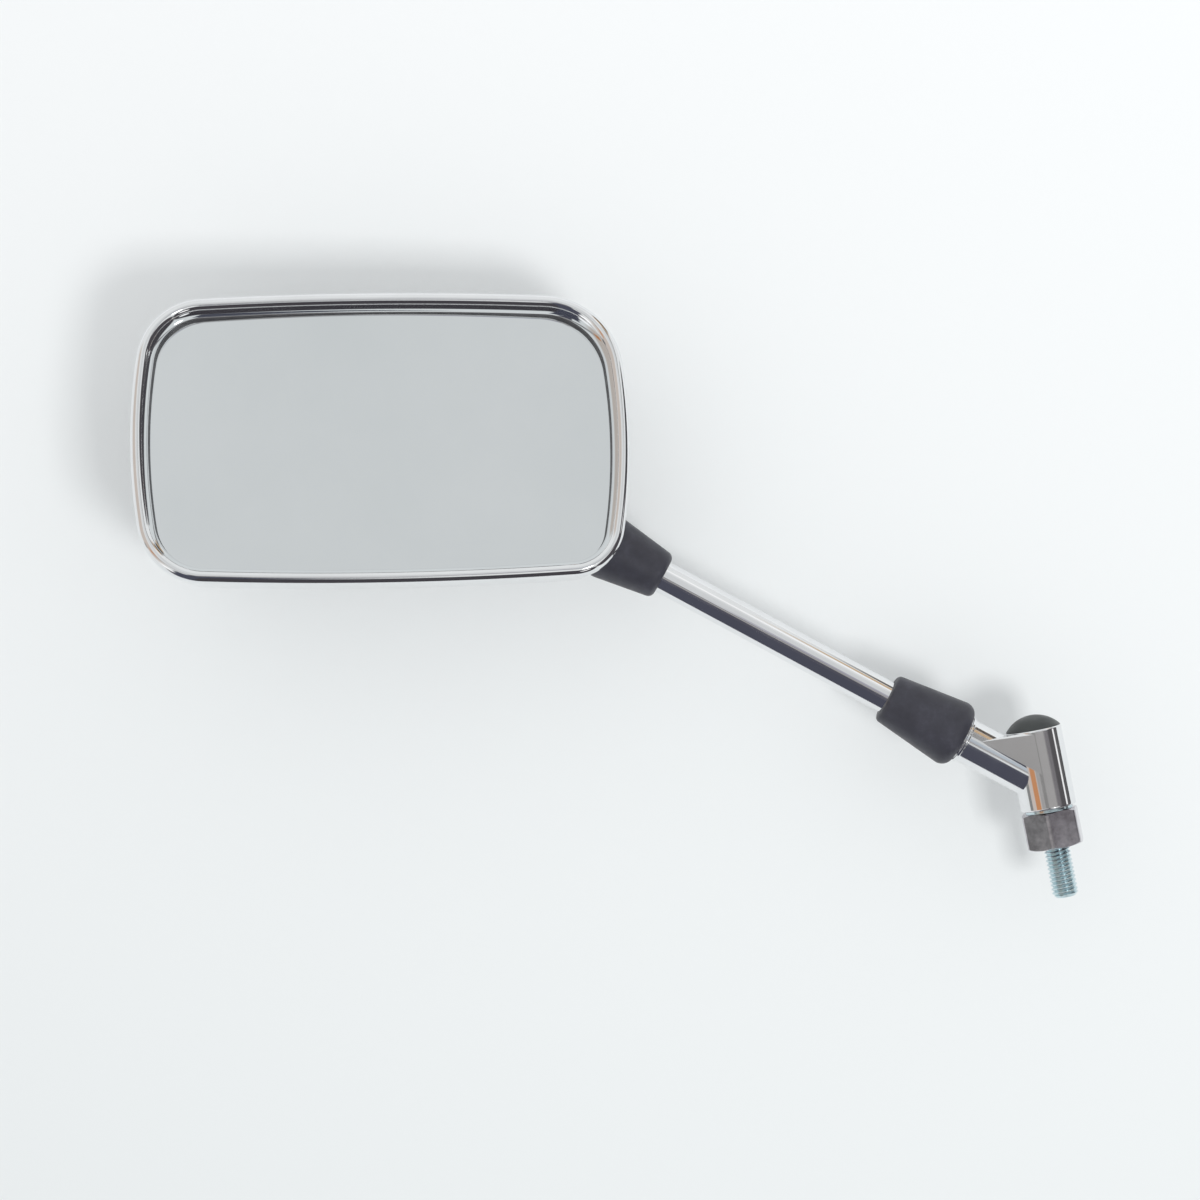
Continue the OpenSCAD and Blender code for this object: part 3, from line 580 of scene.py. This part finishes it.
web_tip = (web_top - web_foot) / slope
web_rings = [
    [(x, -half, web_foot - x * slope), (x, -half, web_top - dip), (x, dip - half, web_top),
     (x, half - dip, web_top), (x, half, web_top - dip), (x, half, web_foot - x * slope)]
    for x, half, dip in (
        (0, wide, WEB_DIP), (-web_root, wide, WEB_DIP), (-web_tip + 0.3, narrow, 0.1))
]
web_part = skin(web_rings)
verts, faces = join(
    lathe(barrel, closed=False),
    moved(lathe(neck, closed=False), on_stem(0)),
)
piece("elbow", verts, faces, UPRIGHT, CAST_CHROME, "arm", "chrome_plate", ["arm_casting"])
piece("elbow_web", *web_part, UPRIGHT, CAST_CHROME, "arm", "chrome_plate", sharp=0.5)

# Cap on the barrel
cap_r, plug_r = barrel_r - 0.2, POCKET_R - FIX_GAP
plug_z, hollow_r, hollow_z = BARREL_TOP - CAP_PLUG, 5.3, BARREL_TOP + 0.2
dome_r = (cap_r ** 2 + CAP_H ** 2) / (2 * CAP_H)
half = math.degrees(math.asin(cap_r / dome_r))
dome = [
    (max(AXIS_R, dome_r * math.sin(math.radians(a))),
     BARREL_TOP + CAP_H - dome_r + dome_r * math.cos(math.radians(a)))
    for a in np.linspace(0, half, 24)
]
cap_profile = dome + [(cap_r, BARREL_TOP), (plug_r, BARREL_TOP), (plug_r, plug_z),
                      (hollow_r, plug_z), (hollow_r, hollow_z), (AXIS_R, hollow_z)]
verts, faces = lathe(cap_profile[::-1], closed=False)
piece("domed_cap", verts, faces, UPRIGHT, CAP, "arm", "black_plastic", ["barrel_cap"])


# Hexagon with turned chamfers
CONE_ANGLE = 60


def hexagon(af, h, drop, bore, columns=32, blunt=0.28):
    """Rings of a hexagonal prism whose corners are cut by a cone at both ends."""
    apothem = af / 2
    corner = apothem / math.cos(math.pi / 6)
    cone = math.tan(math.radians(CONE_ANGLE))
    reach = []
    for side in range(6):
        for k in range(columns):
            t = (k / columns - 0.5) * apothem * 2 / math.sqrt(3)
            a = math.radians(60 * side + 30) + math.atan2(t, apothem)
            reach.append((a, min(math.hypot(t, apothem), corner - blunt)))
    face_r = corner - drop * cone
    rings = [[(bore * math.cos(a), bore * math.sin(a), 0) for a, r in reach]]
    rings.append([(face_r * math.cos(a), face_r * math.sin(a), 0) for a, r in reach])
    lift = [max(0.0, (r - face_r) / cone) for a, r in reach]
    rings.append([(r * math.cos(a), r * math.sin(a), d) for (a, r), d in zip(reach, lift)])
    rings.append([(r * math.cos(a), r * math.sin(a), h - d) for (a, r), d in zip(reach, lift)])
    rings.append([(face_r * math.cos(a), face_r * math.sin(a), h) for a, r in reach])
    rings.append([(bore * math.cos(a), bore * math.sin(a), h) for a, r in reach])
    verts, faces = skin(rings, closed=True)
    return verts, [tuple(reversed(f)) for f in faces]


HEX_CHAMFER, HEX_BORE_R = 0.8, 4.1
verts, faces = hexagon(HEX_AF, HEX_H, HEX_CHAMFER, HEX_BORE_R)
piece("plated_hexagon", verts, faces, turn("Z", HEX_TURN), SHADED_HEX_CHROME, "base", "chrome_plate",
      ["base_nut"], sharp=20)

# Stud with its thread, and the bolt inside the barrel
TURN_STEPS, TOOTH_STEPS, TOOTH_H, TOOTH_SHAPE = 48, 10, 0.6, 0.8
THREAD_CHAMFER, THREAD_END = 1.1, 1.0
low, high = -THREAD_L - 1.0, 1.5
turns = int((high - low) / PITCH) + 1
crest = THREAD_D / 2
tooth = [
    (t, crest - TOOTH_H + TOOTH_H * (0.5 - 0.5 * math.cos(2 * math.pi * t)) ** TOOTH_SHAPE)
    for t in (k / TOOTH_STEPS for k in range(TOOTH_STEPS))
]
verts = []
for k in range(TURN_STEPS):
    a = 2 * math.pi * k / TURN_STEPS
    for j in range(turns):
        for t, r in tooth:
            z = low + (j + t + k / TURN_STEPS) * PITCH
            r = min(r, crest - max(0.0, THREAD_CHAMFER - THREAD_L - z))
            verts.append((r * math.cos(a), r * math.sin(a), min(max(z, -THREAD_L), THREAD_END)))
n = turns * TOOTH_STEPS
faces = []
for k in range(TURN_STEPS):
    last = k == TURN_STEPS - 1
    next_start = TOOTH_STEPS if last else (k + 1) * n
    for j in range(n - 1 - (TOOTH_STEPS if last else 0)):
        here, there = k * n + j, next_start + j
        faces.append((here, there, there + 1, here + 1))
SHANK_R, CORE_R, BOLT_HEAD_R, BOLT_HEAD_H, KEY_R, KEY_DEPTH, TIP_R = 4, 3.6, 6.5, 5, 2.9, 3, 2.95
head_top = BARREL_TOP - CAP_PLUG - SOFT_GAP
head_under, key_z = head_top - BOLT_HEAD_H, head_top - KEY_DEPTH
shank = rounded(
    [(AXIS_R, 0.5), (CORE_R, 0.5), (CORE_R, 11), (SHANK_R, 11), (SHANK_R, head_under),
     (BOLT_HEAD_R, head_under), (BOLT_HEAD_R, head_top), (KEY_R, head_top), (KEY_R, key_z),
     (AXIS_R, key_z)],
    [0, 0, 0, 0, 0, 0, 0.4, 0.2, 0, 0], 4)
tip_disc = rounded([(AXIS_R, -THREAD_L), (TIP_R, -THREAD_L), (TIP_R, -10), (AXIS_R, -10)],
                   [0, 0.2, 0, 0], 4)
verts, faces = join((verts, faces), lathe(shank, closed=False), lathe(tip_disc, closed=False))
piece("threaded_stud", verts, faces, UPRIGHT, ZINC, "base", "zinc_steel", ["stud_bolt"], sharp=28)

# Camera at the photograph's view, which is square
SENSOR, FOCAL_IN_FRAMES, ROLL = 36, 2632 / 1200, 11.2
CAMERA_AT = (-0.1215, -0.8, 0.1003)
camera_data = bpy.data.cameras.new("camera")
camera_data.sensor_width = SENSOR
camera_data.lens = FOCAL_IN_FRAMES * SENSOR
camera = bpy.data.objects.new("camera", camera_data)
bpy.context.scene.collection.objects.link(camera)
roll = math.radians(ROLL)
right = Vector((math.cos(roll), 0, -math.sin(roll)))
up = Vector((math.sin(roll), 0, math.cos(roll)))
back = right.cross(up)
camera.matrix_world = Matrix.Translation(CAMERA_AT) @ Matrix(
    (right, up, back)).transposed().to_4x4()
bpy.context.scene.camera = camera

# Pale sheet behind the mirror, which lets the views from behind through
SHEET_Y, SHEET_HALF, SHEET_SHADE_HALF = 0.029, 0.36, 0.19
mesh = bpy.data.meshes.new("sheet")
centre = Vector((CAMERA_AT[0], SHEET_Y, CAMERA_AT[2]))
middle = centre.dot(up)
mesh.from_pydata(
    [centre + (right * x + up * y) * SHEET_HALF for x, y in ((-1, -1), (1, -1), (1, 1), (-1, 1))],
    [], [(0, 1, 2, 3)])
sheet = bpy.data.objects.new("sheet", mesh)
bpy.context.scene.collection.objects.link(sheet)
SHEET = material("pale_sheet", (0.86, 0.88, 0.88), 0.0, 0.9)
nodes, links = SHEET.node_tree.nodes, SHEET.node_tree.links
where = nodes.new("ShaderNodeTexCoord")
height = nodes.new("ShaderNodeVectorMath")
height.operation = "DOT_PRODUCT"
height.inputs[1].default_value = up
links.new(where.outputs["Object"], height.inputs[0])
# Painted shade: the sheet's colour runs from darker at the bottom to lighter at the top, a
# painted fall-off of light across it.
tint(
    SHEET,
    spread(SHEET, height.outputs["Value"], 0, 1, middle - SHEET_SHADE_HALF, middle + SHEET_SHADE_HALF),
    [(0, (0.785, 0.81, 0.81)), (1, (0.93, 0.945, 0.945))],
)
side = nodes.new("ShaderNodeNewGeometry")
clear = nodes.new("ShaderNodeBsdfTransparent")
either = nodes.new("ShaderNodeMixShader")
links.new(side.outputs["Backfacing"], either.inputs["Fac"])
links.new(nodes["Principled BSDF"].outputs["BSDF"], either.inputs[1])
links.new(clear.outputs["BSDF"], either.inputs[2])
links.new(either.outputs["Shader"], nodes["Material Output"].inputs["Surface"])
mesh.materials.append(SHEET)

# World: pale to the camera, with the darker parts of a room in reflections
world = bpy.data.worlds.new("studio")
bpy.context.scene.world = world
world.use_nodes = True
nodes, links = world.node_tree.nodes, world.node_tree.links
background = nodes["Background"]
where = nodes.new("ShaderNodeTexCoord")


def image_direction(x, y, depth):
    """x right, y up in the photograph, depth toward the camera."""
    return (right * x + up * y + back * depth).normalized()


def around(phi, alpha):
    """The direction at an angle alpha from the camera's axis, phi round it from the right."""
    phi, alpha = math.radians(phi), math.radians(alpha)
    return image_direction(
        math.cos(phi) * math.sin(alpha), math.sin(phi) * math.sin(alpha), math.cos(alpha))


def round_barrel(azimuth, elevation=-5.7):
    """The direction that an upright cylinder shows, by its compass angle from the front."""
    azimuth, elevation = math.radians(azimuth), math.radians(elevation)
    return Vector((
        math.cos(elevation) * math.sin(azimuth), -math.cos(elevation) * math.cos(azimuth),
        math.sin(elevation)))


AXIS = on_stem(0).to_3x3() @ Vector((0, 0, 1))


def round_stem(turned, height):
    """The direction that the stem shows, turned about its axis from the camera's side."""
    turned, height = math.radians(turned), math.radians(height)
    across = back.cross(AXIS)
    return (
        AXIS * math.sin(height)
        + (back * math.cos(turned) + across * math.sin(turned)) * math.cos(height)).normalized()


def calculated(operation, first, second=None):
    node = nodes.new("ShaderNodeMath")
    node.operation = operation
    for socket, value in zip(node.inputs, (first, second)):
        if isinstance(value, (int, float)):
            socket.default_value = value
        elif value is not None:
            links.new(value, socket)
    return node.outputs["Value"]


def mixed(factor, under, over):
    node = nodes.new("ShaderNodeMix")
    node.data_type = "RGBA"
    links.new(factor, node.inputs["Factor"])
    for socket, value in ((node.inputs["A"], under), (node.inputs["B"], over)):
        if isinstance(value, tuple):
            socket.default_value = (*value, 1)
        else:
            links.new(value, socket)
    return node.outputs["Result"]


def along(direction):
    node = nodes.new("ShaderNodeVectorMath")
    node.operation = "DOT_PRODUCT"
    links.new(where.outputs["Generated"], node.inputs[0])
    node.inputs[1].default_value = direction
    return node.outputs["Value"]


def eased(value, start, end):
    """0 at start, 1 at end, with a soft course between."""
    node = nodes.new("ShaderNodeMapRange")
    node.interpolation_type = "SMOOTHSTEP"
    node.inputs["From Min"].default_value = start
    node.inputs["From Max"].default_value = end
    links.new(value, node.inputs["Value"])
    return node.outputs["Result"]


def near(direction, inner, outer):
    """1 within the inner angle of a direction and 0 beyond the outer one, in degrees."""
    return eased(along(direction), math.cos(math.radians(outer)), math.cos(math.radians(inner)))


def lobe(under, direction, inner, outer, color):
    """Lays a soft round patch of a colour over the world's colour."""
    return mixed(near(direction, inner, outer), under, color)


def strip(under, pole, height, half, soft, direction, inner, outer, color):
    """Lays a strip at a height above the plane across pole, centred on a direction."""
    off = calculated("SUBTRACT", along(pole), math.sin(math.radians(height)))
    edge, end = math.sin(math.radians(half)), math.sin(math.radians(half + soft))
    across = eased(calculated("ABSOLUTE", off), end, edge)
    factor = calculated("MULTIPLY", across, near(direction, inner, outer))
    return mixed(factor, under, color)


def barrel_strip(under, azimuth, inner, outer, color):
    """A strip that shows on the upright cylinders."""
    return strip(
        under, Vector((0, 0, 1)), -5.4, 2.2, 1.6, round_barrel(azimuth), inner, outer, color)


def stem_strip(under, turned, height, half, soft, inner, outer, color):
    """A strip that shows on the stem and its neck."""
    return strip(
        under, AXIS, height, half, soft, round_stem(turned, height), inner, outer, color)


PALE, LEVEL = (0.85, 0.87, 0.87), (0.8, 0.81, 0.82)
NAVY, GREY, BROWN = (0.075, 0.078, 0.105), (0.27, 0.265, 0.26), (0.1, 0.08, 0.065)
seen = nodes.new("ShaderNodeLightPath")
glossy = seen.outputs["Is Glossy Ray"]
shown = calculated("MAXIMUM", seen.outputs["Is Camera Ray"], seen.outputs["Is Transmission Ray"])
shown = calculated("MAXIMUM", shown, glossy)
base = mixed(shown, LEVEL, PALE)

# The room as polished metal and the glass show it
room = lobe(base, around(65, 18), 10, 32, (0.7, 0.715, 0.72))
room = lobe(room, around(180, 55), 22, 36, (0.62, 0.55, 0.5))
room = lobe(room, around(-92, 72), 38, 43, (0.062, 0.058, 0.066))
room = lobe(room, around(-13, 78), 34, 38, (0.075, 0.07, 0.078))
room = lobe(room, around(-132, 62), 8, 12, (1.2, 1.2, 1.2))
room = lobe(room, around(-64, 62), 5, 8, (1.2, 1.2, 1.2))
room = stem_strip(room, -9, -9, 1.6, 1, 8, 11, (0.48, 0.54, 0.6))
room = stem_strip(room, -1, -5, 1.6, 1.2, 9, 14, (0.4, 0.39, 0.45))
room = stem_strip(room, 14, -3.5, 3, 1.5, 13, 18, (0.09, 0.09, 0.115))
room = barrel_strip(room, 0, 30, 38, (0.39, 0.38, 0.375))
room = barrel_strip(room, -12, 5, 8, GREY)
room = stem_strip(room, -46, -10, 2.5, 1, 15, 17, GREY)
room = stem_strip(room, -67, -11, 6.5, 1.5, 6, 9, (0.62, 0.44, 0.27))
room = stem_strip(room, -84, -12, 5.5, 2, 8, 10, BROWN)
room = stem_strip(room, -54, -3, 4, 2, 3, 6, (1.05, 1.05, 1.05))
room = stem_strip(room, 62, -4, 9, 4, 34, 40, NAVY)
room = stem_strip(room, 32, -11, 3, 1.5, 18, 22, NAVY)
room = barrel_strip(room, -47, 9, 11, (0.6, 0.28, 0.13))
room = barrel_strip(room, -80, 5, 8, (0.24, 0.245, 0.24))
room = barrel_strip(room, 42, 6, 16, (0.2, 0.19, 0.2))
room = barrel_strip(room, 60, 7, 15, (0.1, 0.095, 0.1))
room = barrel_strip(room, 76, 2.5, 5, (1.1, 1.1, 1.1))
room = barrel_strip(room, 88, 3, 6, (0.12, 0.12, 0.12))
room = lobe(room, around(-40, 27), 3, 5, (7, 7, 7))
pick = mixed(glossy, base, room)
links.new(pick, background.inputs["Color"])
background.inputs["Strength"].default_value = 1.0


def lamp(name, place, target, size, power, color=(1, 1, 1)):
    data = bpy.data.lights.new(name, "AREA")
    data.shape = "RECTANGLE"
    data.size, data.size_y = size
    data.energy = power
    data.color = color
    obj = bpy.data.objects.new(name, data)
    obj.location = place
    obj.rotation_euler = (Vector(target) - Vector(place)).to_track_quat("-Z", "Y").to_euler()
    obj.visible_glossy = False
    bpy.context.scene.collection.objects.link(obj)


TARGET = Vector((-0.1, 0, 0.08))
lamp("window", TARGET + 1.5 * around(-40, 26), TARGET, (0.34, 0.34), 7)

bpy.context.scene.view_settings.view_transform = "Standard"
